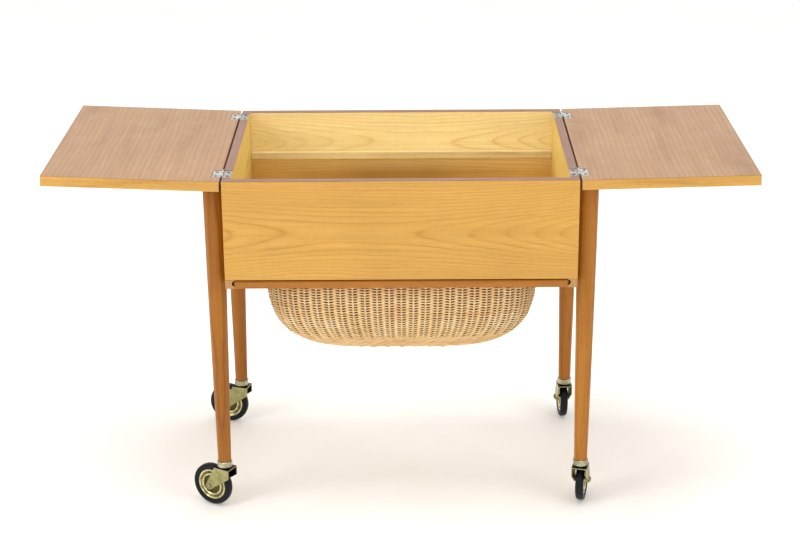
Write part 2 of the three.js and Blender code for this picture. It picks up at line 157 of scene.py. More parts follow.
class Shader:
    """A Principled material, with short calls for the nodes that the surfaces share."""

    def __init__(self, name, roughness=0.5, metallic=0.0, coat=0.0):
        self.material = bpy.data.materials.new(name)
        self.material.use_nodes = True
        self.tree = self.material.node_tree
        self.bsdf = self.tree.nodes["Principled BSDF"]
        self.bsdf.inputs["Roughness"].default_value = roughness
        self.bsdf.inputs["Metallic"].default_value = metallic
        self.bsdf.inputs["Coat Weight"].default_value = coat
        self.bsdf.inputs["Coat Roughness"].default_value = COAT_ROUGHNESS

    def node(self, kind, **settings):
        made = self.tree.nodes.new(kind)
        for key, value in settings.items():
            setattr(made, key, value)
        return made

    def feed(self, socket, value):
        if isinstance(value, bpy.types.NodeSocket):
            self.tree.links.new(value, socket)
        else:
            socket.default_value = value

    def coords(self):
        return self.node("ShaderNodeTexCoord").outputs["Object"]

    def place(self, vector, scale=(1, 1, 1), rotation=(0, 0, 0), location=(0, 0, 0)):
        made = self.node("ShaderNodeMapping")
        self.feed(made.inputs["Vector"], vector)
        made.inputs["Location"].default_value = location
        made.inputs["Rotation"].default_value = rotation
        made.inputs["Scale"].default_value = scale
        return made.outputs["Vector"]

    def noise(self, vector, scale, detail=2.0, roughness=0.5):
        made = self.node("ShaderNodeTexNoise")
        self.feed(made.inputs["Vector"], vector)
        made.inputs["Scale"].default_value = scale
        made.inputs["Detail"].default_value = detail
        made.inputs["Roughness"].default_value = roughness
        return made.outputs["Fac"]

    def math(self, operation, a, b=0.0, clamp=False):
        made = self.node("ShaderNodeMath", operation=operation, use_clamp=clamp)
        self.feed(made.inputs[0], a)
        self.feed(made.inputs[1], b)
        return made.outputs[0]

    def remap(self, value, from_lo, from_hi, to_lo=0.0, to_hi=1.0):
        made = self.node("ShaderNodeMapRange")
        self.feed(made.inputs["Value"], value)
        made.inputs["From Min"].default_value = from_lo
        made.inputs["From Max"].default_value = from_hi
        made.inputs["To Min"].default_value = to_lo
        made.inputs["To Max"].default_value = to_hi
        return made.outputs["Result"]

    def vary(self, noise, low, high):
        """Spread the middle of a noise, where most of its values lie, from low to high."""
        return self.remap(noise, 0.3, 0.7, low, high)

    def mix(self, factor, a, b, blend="MIX"):
        made = self.node("ShaderNodeMix", data_type="RGBA", blend_type=blend)
        self.feed(made.inputs[0], factor)
        self.feed(made.inputs[6], a)
        self.feed(made.inputs[7], b)
        return made.outputs[2]

    def ramp(self, value, stops):
        made = self.node("ShaderNodeValToRGB")
        self.feed(made.inputs["Fac"], value)
        elements = made.color_ramp.elements
        while len(elements) < len(stops):
            elements.new(0.5)
        for element, (position, colour) in zip(elements, stops):
            element.position = position
            element.color = colour
        return made.outputs["Color"]

    def split(self, vector):
        made = self.node("ShaderNodeSeparateXYZ")
        self.feed(made.inputs[0], vector)
        return made.outputs

    def bump(self, height, strength, distance):
        made = self.node("ShaderNodeBump")
        self.feed(made.inputs["Height"], height)
        made.inputs["Strength"].default_value = strength
        made.inputs["Distance"].default_value = distance
        self.tree.links.new(made.outputs["Normal"], self.bsdf.inputs["Normal"])

    def colour(self, value):
        self.feed(self.bsdf.inputs["Base Color"], value)

    def rough(self, value):
        self.feed(self.bsdf.inputs["Roughness"], value)


PORE_BROWN = rgb(96, 58, 32)

# Turns that lay the grain of a board along the first axis of the pattern
GRAIN_TURN = {"X": (0, 0, 0), "Y": (0, 0, -math.pi / 2), "Z": (0, math.pi / 2, 0)}


def grain_space(shader, grain, centre=(0, 0, 0)):
    """Object coordinates with the grain along the first axis and the given centre at zero."""
    moved = shader.place(shader.coords(), location=[-c for c in centre])
    return shader.place(moved, rotation=GRAIN_TURN[grain])


def board_figure(shader, space, tones, pitch, depth, bend, start=0.0, warp=12 * MM, across=1,
                 offset=0.0):
    """The growth rings of a flat-sawn board, as a colour: arches where the log's heart comes near."""
    pale, middle, dark = tones
    axes = shader.split(space)
    wander = shader.noise(shader.place(space, scale=(2.0, 7.0, 7.0)), 1.0, 3.0)
    wander = shader.remap(wander, 0, 1, -warp, warp)
    small = shader.noise(shader.place(space, scale=(9.0, 60.0, 60.0)), 1.0, 2.0)
    small = shader.remap(small, 0, 1, -warp * 0.2, warp * 0.2)
    side = shader.math("SUBTRACT", shader.math("ADD", axes[across], wander), offset)
    side = shader.math("ADD", side, small)
    run = shader.math("SUBTRACT", axes[0], start)
    sunk = shader.math("SUBTRACT", depth, shader.math("MULTIPLY", bend, shader.math("MULTIPLY", run, run)))
    # The heart stays a part of a ring away, so that an arch ends in a round tip
    sunk = shader.math("MAXIMUM", sunk, pitch * 0.4)
    radius = shader.math("SQRT", shader.math("ADD", shader.math("MULTIPLY", side, side),
                                             shader.math("MULTIPLY", sunk, sunk)))
    turn = shader.math("DIVIDE", radius, pitch)
    ring = shader.math("FRACT", turn)
    colour = shader.ramp(ring, [(0.0, middle), (0.15, pale), (0.45, pale), (0.8, middle),
                                (0.94, dark), (1.0, middle)])
    # Some years' rings show less than others
    faint = shader.noise(shader.place(space, scale=(3, 90, 90)), 1.0, 2.0)
    return shader.mix(shader.remap(faint, 0.35, 0.65, 0.15, 0.75), colour, middle)


def fibres(shader, space, colour, strength, pores):
    """Fine fibres and short open pores along the grain, over a board's colour."""
    fibre = shader.noise(shader.place(space, scale=(9, 420, 420)), 1.0, 3.0, 0.6)
    streak = shader.noise(shader.place(space, scale=(2.2, 75, 75)), 1.0, 3.0, 0.6)
    blotch = shader.noise(space, 5.0, 2.0)
    tone = shader.math("ADD", shader.vary(fibre, 1 - strength, 1 + strength),
                       shader.vary(streak, -strength, strength))
    tone = shader.math("ADD", tone, shader.vary(blotch, -strength, strength))
    grey = shader.node("ShaderNodeCombineColor")
    for socket in grey.inputs:
        shader.feed(socket, tone)
    colour = shader.mix(1.0, colour, grey.outputs[0], "MULTIPLY")
    pore = shader.noise(shader.place(space, scale=(60, 1100, 1100)), 1.0, 1.0)
    pore = shader.math("GREATER_THAN", pore, 0.64)
    colour = shader.mix(shader.math("MULTIPLY", pore, pores), colour, PORE_BROWN)
    relief = shader.math("SUBTRACT", fibre, shader.math("MULTIPLY", pore, 0.8))
    return colour, relief


def varnished(shader, space, relief, low=0.34, high=0.48):
    """Satin varnish: uneven gloss, and grain that still shows through it."""
    wear = shader.noise(space, 22.0, 4.0, 0.65)
    shader.rough(shader.vary(wear, low, high))
    shader.bump(relief, 0.22, 0.12 * MM)


# Pale, middle and dark tone of each wood
HONEY = (rgb(212, 161, 75), rgb(205, 152, 65), rgb(182, 127, 48))
MAPLE = (rgb(241, 219, 158), rgb(236, 210, 144), rgb(220, 184, 114))
MAPLE_SIDE = (rgb(232, 204, 118), rgb(226, 194, 106), rgb(206, 166, 84))
# The inside below the ledges: a darker copy of MAPLE, as painted shade
MAPLE_SHADED = (rgb(214, 172, 92), rgb(206, 160, 82), rgb(166, 120, 54))
LEAF_TAN = (rgb(168, 128, 87), rgb(158, 118, 78), rgb(142, 101, 65))
RIM_BROWN = (rgb(141, 100, 78), rgb(130, 92, 72), rgb(104, 70, 54))
LEG_BROWN = (rgb(168, 107, 33), rgb(156, 95, 26), rgb(125, 70, 17))
# A lighter copy of LEG_BROWN for the right legs: painted light, where more light falls on that side
LEG_BROWN_PAINTED_LIT = (rgb(181, 119, 40), rgb(169, 106, 32), rgb(138, 80, 23))
RAIL_BROWN = (rgb(178, 116, 44), rgb(166, 103, 36), rgb(138, 80, 26))
PALE = (rgb(225, 206, 154), rgb(218, 196, 142), rgb(200, 172, 116))
RUNNER_TAN = (rgb(190, 146, 92), rgb(180, 136, 82), rgb(154, 108, 62))


def masked(shader, *parts):
    """The product of several 0 or 1 masks."""
    mask = parts[0]
    for part in parts[1:]:
        mask = shader.math("MULTIPLY", mask, part)
    return mask


RIM_SKIN = 0.9 * MM  # how far the brown of the rim comes down a board


def case_material(name, grain, figure, inside, inside_figure):
    """A board of the box: honey outside, paler inside above the ledge with painted shade below it, brown on
    the rim.
    """
    shader = Shader(name, coat=0.1)
    shader.bsdf.inputs["Specular IOR Level"].default_value = 0.4
    space = grain_space(shader, grain, (0, CENTRE_Y, PANEL_Z))
    outer = board_figure(shader, space, HONEY, **figure)
    inner = board_figure(shader, space, inside, **inside_figure)
    low = board_figure(shader, space, MAPLE_SHADED, **inside_figure)
    axes = shader.split(shader.place(shader.coords(), location=(0, -CENTRE_Y, 0)))
    slack = 0.4 * MM
    within = masked(shader, shader.math("LESS_THAN", shader.math("ABSOLUTE", axes[0]), SIDE_INNER_X + slack),
                    shader.math("LESS_THAN", shader.math("ABSOLUTE", axes[1]), INNER_HALF_D + slack))
    # Below the ledges the wood is painted darker, as painted shade under the ledge, and darker still towards
    # the middle
    middle = shader.remap(shader.math("ABSOLUTE", axes[0]), 60 * MM, 220 * MM, 0.95, 0.0)
    low = shader.mix(middle, low, MAPLE_SHADED[2])
    sunk = shader.remap(axes[2], LEDGE_Z - 30 * MM, LEDGE_Z + 16 * MM, 1.0, 0.0)
    rim = shader.math("GREATER_THAN", axes[2], RIM_Z - RIM_SKIN)
    colour = shader.mix(within, outer, shader.mix(sunk, inner, low))
    brown = board_figure(shader, space, RIM_BROWN, pitch=6 * MM, depth=40 * MM, bend=0.3, warp=20 * MM)
    colour = shader.mix(rim, colour, brown)
    colour, relief = fibres(shader, space, colour, 0.05, 0.14)
    shader.colour(colour)
    varnished(shader, space, relief)
    return shader.material


def open_tilt(joint):
    """How far an open leaf stands above level, as a closed one lies half a turn from level."""
    return math.pi - math.radians(joint["range_deg"][1])


# Where the colours of a leaf meet
LEAF_FACE = 1.2 * MM  # below the hinge's axis
LEAF_BANDING = 1 * MM  # in from the front and back edges
LEAF_HINGE_EDGE = 2.2 * MM  # out from the hinge's axis


def leaf_material(name, joint, offset):
    """A leaf: tan on the face that shows when open, honey on its edges and its other face."""
    shader = Shader(name, coat=0.12)
    hinge = Vector(JOINTS[joint]["pos_m"])
    side = 1 if hinge.x > 0 else -1
    tilt = open_tilt(JOINTS[joint])
    level = shader.place(shader.coords(), location=-hinge)
    level = shader.place(level, rotation=(0, side * tilt, 0))
    axes = shader.split(level)
    top = shader.math("GREATER_THAN", axes[2], -LEAF_FACE)
    end = shader.math("GREATER_THAN", shader.math("ABSOLUTE", axes[1]), HALF_DEPTH - LEAF_BANDING)
    hinge_edge = shader.math("LESS_THAN", shader.math("MULTIPLY", axes[0], side), LEAF_HINGE_EDGE)
    # The banding on the front and back edges has its grain the other way
    along = shader.place(level, rotation=GRAIN_TURN["Y"])
    space = shader.node("ShaderNodeMix", data_type="VECTOR")
    shader.feed(space.inputs[0], masked(shader, end, shader.math("SUBTRACT", 1.0, top)))
    shader.feed(space.inputs[4], along)
    shader.feed(space.inputs[5], level)
    space = space.outputs[1]
    face = board_figure(shader, space, LEAF_TAN, pitch=9 * MM, depth=55 * MM, bend=0.12, start=50 * MM,
                        warp=8 * MM, offset=offset)
    # Reddish streaks and clouds run with the grain
    cloud = shader.noise(shader.place(space, scale=(2.5, 22, 22)), 1.0, 3.0, 0.6)
    face = shader.mix(shader.remap(cloud, 0.5, 0.72, 0.0, 0.9), face, LEAF_TAN[2])
    edge = board_figure(shader, space, HONEY, pitch=6 * MM, depth=90 * MM, bend=0.05, warp=10 * MM, across=2)
    colour = shader.mix(top, shader.mix(hinge_edge, edge, RIM_BROWN[1]), face)
    colour, relief = fibres(shader, space, colour, 0.055, 0.22)
    shader.colour(colour)
    varnished(shader, space, relief, 0.36, 0.5)
    return shader.material


def plain_wood(name, grain, tones, pitch, pores=0.2, strength=0.05):
    shader = Shader(name, coat=0.05)
    shader.bsdf.inputs["Specular IOR Level"].default_value = 0.22
    space = grain_space(shader, grain)
    figure = board_figure(shader, space, tones, pitch, depth=40 * MM, bend=0.15, start=100 * MM)
    colour, relief = fibres(shader, space, figure, strength, pores)
    shader.colour(colour)
    varnished(shader, space, relief)
    return shader.material


# Painted shade in the pits of the weave
PIT_SHADE_BROWN = rgb(96, 36, 12)


def wicker_material():
    shader = Shader("woven_cane", roughness=0.55)
    shader.bsdf.inputs["Sheen Weight"].default_value = 0.08
    tone = shader.node("ShaderNodeAttribute", attribute_name="tone").outputs["Fac"]
    speck = shader.noise(shader.coords(), 900, 3.0)
    patch = shader.noise(shader.coords(), 26, 2.0)
    value = shader.math("ADD", tone, shader.vary(patch, -0.15, 0.15))
    value = shader.math("ADD", value, shader.vary(speck, -0.1, 0.1))
    colour = shader.ramp(value, [(0.0, rgb(230, 180, 116)), (0.4, rgb(246, 206, 144)),
                                 (0.7, rgb(252, 220, 162)), (1.0, rgb(255, 234, 188))])
    depth = shader.node("ShaderNodeAttribute", attribute_name="depth").outputs["Fac"]
    # Painted shade: the cane is painted dark brown as far as its depth attribute says
    shader.colour(shader.mix(depth, colour, PIT_SHADE_BROWN))
    shader.rough(shader.vary(speck, 0.45, 0.65))
    shader.bump(speck, 0.3, 0.1 * MM)
    return shader.material


def scuffed(shader, colour, gloss, scale=900.0):
    """Give metal its colour and roughness, with fine scuffs over it."""
    scuff = shader.noise(shader.coords(), scale, 3.0, 0.7)
    shader.colour(colour)
    shader.rough(shader.math("ADD", gloss, shader.vary(scuff, -0.05, 0.05)))
    shader.bump(scuff, 0.12, 0.05 * MM)
    return shader.material


def metal_material(name, bright, dull, roughness, stain, scale=60.0):
    """Plated metal: patches of tarnish and fine scuffs."""
    shader = Shader(name, roughness=roughness, metallic=1.0)
    patch = shader.noise(shader.coords(), scale, 4.0, 0.65)
    colour = shader.mix(shader.remap(patch, 0.42, 0.68, 0.0, stain), bright, dull)
    gloss = shader.remap(patch, 0.35, 0.7, roughness - 0.08, roughness + 0.16)
    return scuffed(shader, colour, gloss, scale * 14)


def rubber_material():
    shader = Shader("tyre_rubber")
    shader.bsdf.inputs["Specular IOR Level"].default_value = 0.22
    dust = shader.noise(shader.coords(), 90, 4.0, 0.7)
    grit = shader.noise(shader.coords(), 1500, 2.0)
    colour = shader.mix(shader.remap(dust, 0.45, 0.8, 0.0, 0.3), rgb(6, 11, 17), rgb(42, 44, 47))
    shader.colour(colour)
    shader.rough(shader.vary(dust, 0.3, 0.55))
    shader.bump(grit, 0.3, 0.1 * MM)
    return shader.material


def floor_material():
    shader = Shader("pale_floor", roughness=0.55)
    cloud = shader.noise(shader.coords(), 3.0, 5.0, 0.6)
    colour = shader.mix(shader.remap(cloud, 0.35, 0.7, 0.0, 1.0), rgb(244, 243, 240), rgb(238, 235, 230))
    shader.colour(colour)
    # The white sheet runs back into a bright backdrop
    glow = shader.remap(shader.split(shader.coords())[1], -0.2, 1.2, 0.13, 0.34)
    shader.feed(shader.bsdf.inputs["Emission Color"], colour)
    shader.feed(shader.bsdf.inputs["Emission Strength"], glow)
    return shader.material


# ---------------------------------------------------------------- mesh building

def add_piece(name, vertices, faces, material, body, replaced=(), sharp_degrees=35):
    mesh = bpy.data.meshes.new(name)
    mesh.from_pydata([tuple(v) for v in vertices], [], [tuple(f) for f in faces])
    mesh.validate()
    mesh.shade_smooth()
    mesh.set_sharp_from_angle(angle=math.radians(sharp_degrees))
    mesh.materials.append(material)
    piece = bpy.data.objects.new(name, mesh)
    bpy.context.scene.collection.objects.link(piece)
    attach(piece, body)
    if replaced:
        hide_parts(*replaced)
    return piece


def in_mm(pairs):
    return [(r * MM, h * MM) for r, h in pairs]


def lathe(profile, segments, matrix):
    """A solid turned about Z from [radius, height] pairs. A radius of 0 closes it on the axis."""
    vertices, faces, rings = [], [], []
    for radius, height in profile:
        if radius == 0:
            rings.append([len(vertices)])
            vertices.append(matrix @ Vector((0, 0, height)))
            continue
        rings.append(list(range(len(vertices), len(vertices) + segments)))
        for i in range(segments):
            angle = 2 * math.pi * i / segments
            vertices.append(matrix @ Vector((radius * math.cos(angle), radius * math.sin(angle), height)))
    pairs = list(zip(rings, rings[1:]))
    if len(rings[0]) > 1:
        pairs.append((rings[-1], rings[0]))
    for low, high in pairs:
        for i in range(segments):
            j = (i + 1) % segments
            if len(low) == 1:
                faces.append((low[0], high[j], high[i]))
            elif len(high) == 1:
                faces.append((low[i], low[j], high[0]))
            else:
                faces.append((low[i], low[j], high[j], high[i]))
    return vertices, faces


def soften(node, material, width, segments=2):
    """A packed board or plate with its own material and eased edges."""
    piece = NODES[node]
    piece.data.materials.clear()
    piece.data.materials.append(material)
    weld = piece.modifiers.new("weld", "WELD")
    weld.merge_threshold = 0.01 * MM
    bevel = piece.modifiers.new("ease", "BEVEL")
    bevel.width = width
    bevel.segments = segments
    bevel.limit_method = "ANGLE"
    bevel.angle_limit = math.radians(40)
    bevel.harden_normals = True


# ---------------------------------------------------------------- box, leaves, ledges and frame

def dress_boards():
    # Two arched figures that point at each other from the ends of the front board
    front = dict(pitch=4.2 * MM, depth=60.4 * MM, bend=0.165, start=-80 * MM, warp=16 * MM, across=2,
                 offset=-8 * MM)
    plain = dict(pitch=5 * MM, depth=50 * MM, bend=0.12, start=60 * MM, warp=14 * MM, across=2,
                 offset=14 * MM)
    wide = dict(pitch=5.5 * MM, depth=40 * MM, bend=0.35, start=20 * MM, warp=20 * MM, across=2,
                offset=30 * MM)
    soften("front_panel", case_material("front_board", "X", front, MAPLE, wide), 0.7 * MM)
    soften("back_panel", case_material("back_board", "X", plain, MAPLE, wide), 0.7 * MM)
    soften("side_panel_left", case_material("left_board", "Y", plain, MAPLE_SIDE, plain), 0.6 * MM)
    soften("side_panel_right", case_material("right_board", "Y", plain, MAPLE_SIDE, plain), 0.6 * MM)
    soften("leaf_left", leaf_material("left_leaf_wood", "leaf_left_hinge", -90 * MM), 0.5 * MM)
    soften("leaf_right", leaf_material("right_leaf_wood", "leaf_right_hinge", 190 * MM), 0.5 * MM)
    ledge = plain_wood("ledge_wood", "X", PALE, 14 * MM)
    for node in ("ledge_front", "ledge_back", "floor_panel"):
        soften(node, ledge, 0.5 * MM)
    runner = plain_wood("runner_wood", "Y", RUNNER_TAN, 7 * MM, 0.3)
    for node in ("runner_left", "runner_right"):
        soften(node, runner, 0.4 * MM)
    rail = plain_wood("rail_wood", "X", RAIL_BROWN, 8 * MM, 0.3)
    for node in ("frame_front_rail", "frame_back_rail"):
        soften(node, rail, 0.4 * MM)
    bar = plain_wood("bar_wood", "Y", LEG_BROWN, 8 * MM, 0.3)
    for node in ("frame_side_left", "frame_side_right"):
        soften(node, bar, 0.4 * MM)


FOOT_TO_TOP = 11.1 / 17  # radius of a leg at its foot, as a share of that at its top
# [share of the height, share of the way from foot radius to top radius]
LEG_SWELL = [(0, 0), (0.1, 0.13), (0.3, 0.40), (0.5, 0.62), (0.7, 0.82), (0.85, 0.92), (0.99, 1)]
LEG_TOP_EASE = 1.2 * MM


def add_legs():
    # The right legs get the lighter copy of the brown: painted light on that side
    for hand, tones in (("left", LEG_BROWN), ("right", LEG_BROWN_PAINTED_LIT)):
        wood = plain_wood(f"leg_wood_{hand}", "Z", tones, 10 * MM, 0.3, 0.07)
        for end in ("front", "back"):
            node = f"leg_{end}_{hand}"
            lo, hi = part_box(node)
            top_r = (hi.x - lo.x) / 2
            foot_r = top_r * FOOT_TO_TOP
            height = hi.z - lo.z
            profile = [(0, lo.z)]
            profile += [(foot_r + (top_r - foot_r) * r, lo.z + height * t) for t, r in LEG_SWELL]
            profile += [(top_r - LEG_TOP_EASE, hi.z), (0, hi.z)]
            place = Matrix.Translation(((lo.x + hi.x) / 2, (lo.y + hi.y) / 2, 0))
            vertices, faces = lathe(profile, 64, place)
            add_piece(f"{node}_turned", vertices, faces, wood, "trolley", [node])


# ---------------------------------------------------------------- basket

BASKET_LO, BASKET_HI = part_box("basket")
SQUARENESS, FULLNESS = 5.0, 3.1
STAKE_R = 1.7 * MM
REED = (0.95 * MM, 1.30 * MM)  # half thickness through the wall, and along it
SPLINT_SHARE = 0.70  # width of a splint, as a share of the distance between stakes
SPLINT_THICK = 0.5 * MM
STEPS_PER_STAKE = 8
SIDES = 5  # of a reed's section
CANE_SIDES = 6  # of a stake's or a twisted cane's section
THICK_REED = (1.3 * MM, 1.7 * MM)  # in the base
STAKE_SPACING = 19.9 * MM  # along the rim
SIDE_PITCH = 2.33 * MM  # from row to row of the weave
BASE_PITCH = 3.3 * MM
TWIST_PITCH = 4.3 * MM
TWIST_OFFSET = 1.2 * MM  # of each twisted cane from the line between the two
TWIST_STEPS = 640  # round the basket
BASE_LIFT = 3.2 * MM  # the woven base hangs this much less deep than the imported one
# Where one kind of weave ends and the next begins, as shares of the plan at the rim
SIDE_END, BANDS_END, BASE_END, CENTRE_END = 0.88, 0.60, 0.30, 0.05
BUTTON = in_mm([(0, -2), (9, -1.6), (14, 0), (9, 1.6), (0, 2)])


class Wall:
    """The middle of the basket's wall: a squared oval that shrinks down the side and under the base."""

    def __init__(self):
        reach = STAKE_R + 2 * REED[0]
        self.half_w = (BASKET_HI.x - BASKET_LO.x) / 2 - reach
        self.half_d = (BASKET_HI.y - BASKET_LO.y) / 2 - reach
        self.centre = Vector(((BASKET_HI.x + BASKET_LO.x) / 2, (BASKET_HI.y + BASKET_LO.y) / 2, 0))
        rail_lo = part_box("frame_front_rail")[0].z
        angle = np.linspace(0, math.pi / 2, 600)
        shrink = np.maximum(np.cos(angle), 0) ** (2 / FULLNESS)
        drop = np.sin(angle) ** (2 / FULLNESS)
        depth = rail_lo - BASKET_LO.z - reach - BASE_LIFT
        self.shrink = np.concatenate([[1.0], shrink])
        self.height = np.concatenate([[BASKET_HI.z], rail_lo - depth * drop])
        run = np.diff(self.shrink) * (self.half_w + self.half_d) / 2
        self.length = np.concatenate([[0], np.cumsum(np.hypot(run, np.diff(self.height)))])
        turn = np.linspace(0, 2 * math.pi, 4001)
        x = self.half_w * np.sign(np.cos(turn)) * np.abs(np.cos(turn)) ** (2 / SQUARENESS)
        y = self.half_d * np.sign(np.sin(turn)) * np.abs(np.sin(turn)) ** (2 / SQUARENESS)
        self.round = np.concatenate([[0], np.cumsum(np.hypot(np.diff(x), np.diff(y)))])
        self.x, self.y = x, y

    def length_at(self, shrink):
        return float(np.interp(-shrink, -self.shrink, self.length))

    def grid(self, lengths, columns):
        """Points, and unit vectors out of the wall and up it, at each length down the wall and column."""
        around = np.linspace(0, self.round[-1], columns, endpoint=False)
        x = np.interp(around, self.round, self.x)
        y = np.interp(around, self.round, self.y)
        shrink = np.interp(lengths, self.length, self.shrink)[:, None]
        height = np.interp(lengths, self.length, self.height)[:, None]
        points = np.stack([self.centre.x + shrink * x, self.centre.y + shrink * y,
                           np.broadcast_to(height, (len(lengths), columns))], axis=2)
        along = np.roll(points, -1, axis=1) - np.roll(points, 1, axis=1)
        up = -np.gradient(points, axis=0) if len(lengths) > 1 else np.zeros_like(points) + [0, 0, 1]
        out = np.cross(along, up)
        out /= np.linalg.norm(out, axis=2, keepdims=True)
        up = np.cross(out, along)
        up /= np.linalg.norm(up, axis=2, keepdims=True)
        return points, out, up


def tubes(centres, out, up, radii, closed, sides=SIDES):
    """Strands with an oval section. centres, out and up are [strand, step, 3]."""
    strands, steps = centres.shape[:2]
    turn = np.arange(sides) * 2 * math.pi / sides
    ring = (out[:, :, None] * (radii[0] * np.cos(turn))[None, None, :, None]
            + up[:, :, None] * (radii[1] * np.sin(turn))[None, None, :, None])
    vertices = (centres[:, :, None] + ring).reshape(-1, 3)
    last = steps if closed else steps - 1
    s, i, k = np.meshgrid(np.arange(strands), np.arange(last), np.arange(sides), indexing="ij")
    j, m = (i + 1) % steps, (k + 1) % sides
    corners = [(s * steps + step) * sides + side for step, side in ((i, k), (i, m), (j, m), (j, k))]
    faces = np.stack(corners, axis=3).reshape(-1, 4).tolist()
    if not closed:
        for strand in range(strands):
            first = strand * steps * sides
            end = first + (steps - 1) * sides
            faces.append([first + n for n in range(sides)][::-1])
            faces.append([end + n for n in range(sides)])
    return vertices, faces


def add_strands(name, vertices, faces, tone, material, depth=None):
    """A piece of cane. tone is each point's own tint; depth is how much painted shade it gets, deepest in the
    weave's pits.
    """
    piece = add_piece(name, vertices.tolist(), faces, material, "basket_drawer", sharp_degrees=180)
    values = {"tone": tone, "depth": np.zeros(len(vertices)) if depth is None else depth}
    for key, value in values.items():
        attribute = piece.data.attributes.new(key, "FLOAT", "POINT")
        attribute.data.foreach_set("value", np.asarray(value, np.float32).ravel())
    return piece


def pit_shade_amount(wave):
    """How much painted shade a strand's side gets: 1 where it is sunk behind its neighbours, 0 where it
    stands proud.
    """
    facing = np.cos(np.arange(SIDES) * 2 * math.pi / SIDES)
    sunk = np.clip(-wave[:, :, None] * np.sign(facing) * 5 - 0.3, 0, 0.8)
    # The upper and lower flanks get painted shade too, but not over the stakes or where the reeds cross
    shade = np.clip(1.6 * (1 - np.abs(wave)), 0, 0.22) * np.clip(8 * np.abs(wave) - 0.4, 0, 1)
    flank = shade[:, :, None] * (np.abs(facing) < 0.5)
    return np.maximum(sunk * np.abs(facing) ** 0.3, flank)


def add_reeds(name, wall, lengths, stakes, pitch, rng, material, reed):
    """Reeds woven in and out of upright stakes, one at each length down the wall."""
    rows = len(lengths)
    columns = stakes * STEPS_PER_STAKE
    points, out, up = wall.grid(lengths, columns)
    # The reeds lie level between stakes and bend sharply round each one
    wave = np.cos(math.pi * np.arange(columns) / STEPS_PER_STAKE)
    wave = (np.sign(wave) * wave ** 2)[None, :]
    parity = np.where(np.arange(rows) % 2, 1.0, -1.0)[:, None]
    loose = 1 + 0.10 * smooth_noise(rng, rows, columns, stakes // 2)
    wobble = 0.04 * pitch * smooth_noise(rng, rows, columns, stakes // 2)
    swing = (STAKE_R + reed[0]) * parity * wave * loose
    centres = points + out * swing[:, :, None] + up * wobble[:, :, None]
    tone = 0.5 + 0.16 * rng.standard_normal((rows, 1)) + 0.12 * smooth_noise(rng, rows, columns, 24)
    # Painted shade for the pits of the weave
    pit_shade = pit_shade_amount(parity * wave)
    made = []
    # Every other reed is in a piece of its own, which keeps the pieces small
    for half, label in ((0, "a"), (1, "b")):
        vertices, faces = tubes(centres[half::2], out[half::2], up[half::2], reed, True)
        shade = np.repeat(tone[half::2].ravel(), SIDES)
        made.append(add_strands(f"{name}_reeds_{label}", vertices, faces, shade, material, pit_shade[half::2]))
    return made


def add_stakes(name, wall, first, last, stakes, rng, material):
    """Upright stakes, each on a flat dark splint of painted shade."""
    steps = max(10, int((last - first) / (4 * MM)))
    lengths = np.linspace(max(first - 2 * MM, 0), last + 4 * MM, steps)
    points, out, up = wall.grid(lengths, stakes * STEPS_PER_STAKE)
    pick = slice(0, None, STEPS_PER_STAKE)
    centres = points[:, pick].transpose(1, 0, 2)
    out_dir = out[:, pick].transpose(1, 0, 2)
    side_dir = np.cross(out_dir, up[:, pick].transpose(1, 0, 2))
    vertices, faces = tubes(centres, out_dir, side_dir, (STAKE_R, STAKE_R), False, CANE_SIDES)
    shade = np.repeat(0.8 + 0.1 * rng.standard_normal(stakes), len(lengths) * CANE_SIDES)
    made = [add_strands(f"{name}_stakes", vertices, faces, shade, material)]
    # A real basket has no splints: they stand in for the shade inside it, and hide the floor beyond
    spacing = wall.round[-1] * np.interp(lengths, wall.length, wall.shrink) / stakes
    reach = side_dir * (SPLINT_SHARE * spacing)[None, :, None]
    vertices, faces = tubes(centres, out_dir, reach, (SPLINT_THICK / 2, 0.5), False, 4)
    tone = np.full(len(vertices), 0.2)
    made.append(add_strands(f"{name}_splints", vertices, faces, tone, material, np.ones(len(vertices))))
    return made


def weave_band(name, wall, first, last, stakes, pitch, rng, material, reed=REED):
    """Woven cane between two lengths down the wall."""
    rows = int(round((last - first) / pitch))
    lengths = first + (np.arange(rows) + 0.5) * pitch
    reeds = add_reeds(name, wall, lengths, stakes, pitch, rng, material, reed)
    return reeds + add_stakes(name, wall, first, last, stakes, rng, material)


def smooth_noise(rng, rows, columns, knots):
    """Random values that change smoothly along each row and close on themselves."""
    values = rng.standard_normal((rows, knots))
    values = np.concatenate([values, values[:, :1]], axis=1)
    at = np.arange(columns) * knots / columns
    low = at.astype(int)
    share = (at - low)[None, :]
    share = share * share * (3 - 2 * share)
    return values[:, low] * (1 - share) + values[:, low + 1] * share


def add_twists(name, wall, lengths, turns, radii, rng, material):
    """At each length down the wall, two canes twisted round each other."""
    rows = len(lengths)
    points, out, up = wall.grid(lengths, TWIST_STEPS)
    turn = 2 * math.pi * turns * np.arange(TWIST_STEPS) / TWIST_STEPS
    phase = rng.uniform(0, 2 * math.pi, rows)[:, None, None] + np.array([0, math.pi])[None, :, None]
    swing = (turn + phase)[..., None]
    centres = points[:, None] + (out[:, None] * np.cos(swing) + up[:, None] * np.sin(swing)) * TWIST_OFFSET
    centres = centres.reshape(-1, TWIST_STEPS, 3)
    twice_out = np.repeat(out, 2, axis=0)
    twice_up = np.repeat(up, 2, axis=0)
    vertices, faces = tubes(centres, twice_out, twice_up, radii, True, CANE_SIDES)
    tone = 0.4 + 0.12 * rng.standard_normal((2 * rows, 1))
    tone = tone + 0.15 * smooth_noise(rng, 2 * rows, TWIST_STEPS, 60)
    # A little darker all over, and painted shade where each cane turns in behind the other
    sunk = 0.2 + 0.35 * np.clip(-np.cos(swing.reshape(-1)), 0, 1)
    shade = np.repeat(tone.ravel(), CANE_SIDES)
    return add_strands(name, vertices, faces, shade, material, np.repeat(sunk, CANE_SIDES))


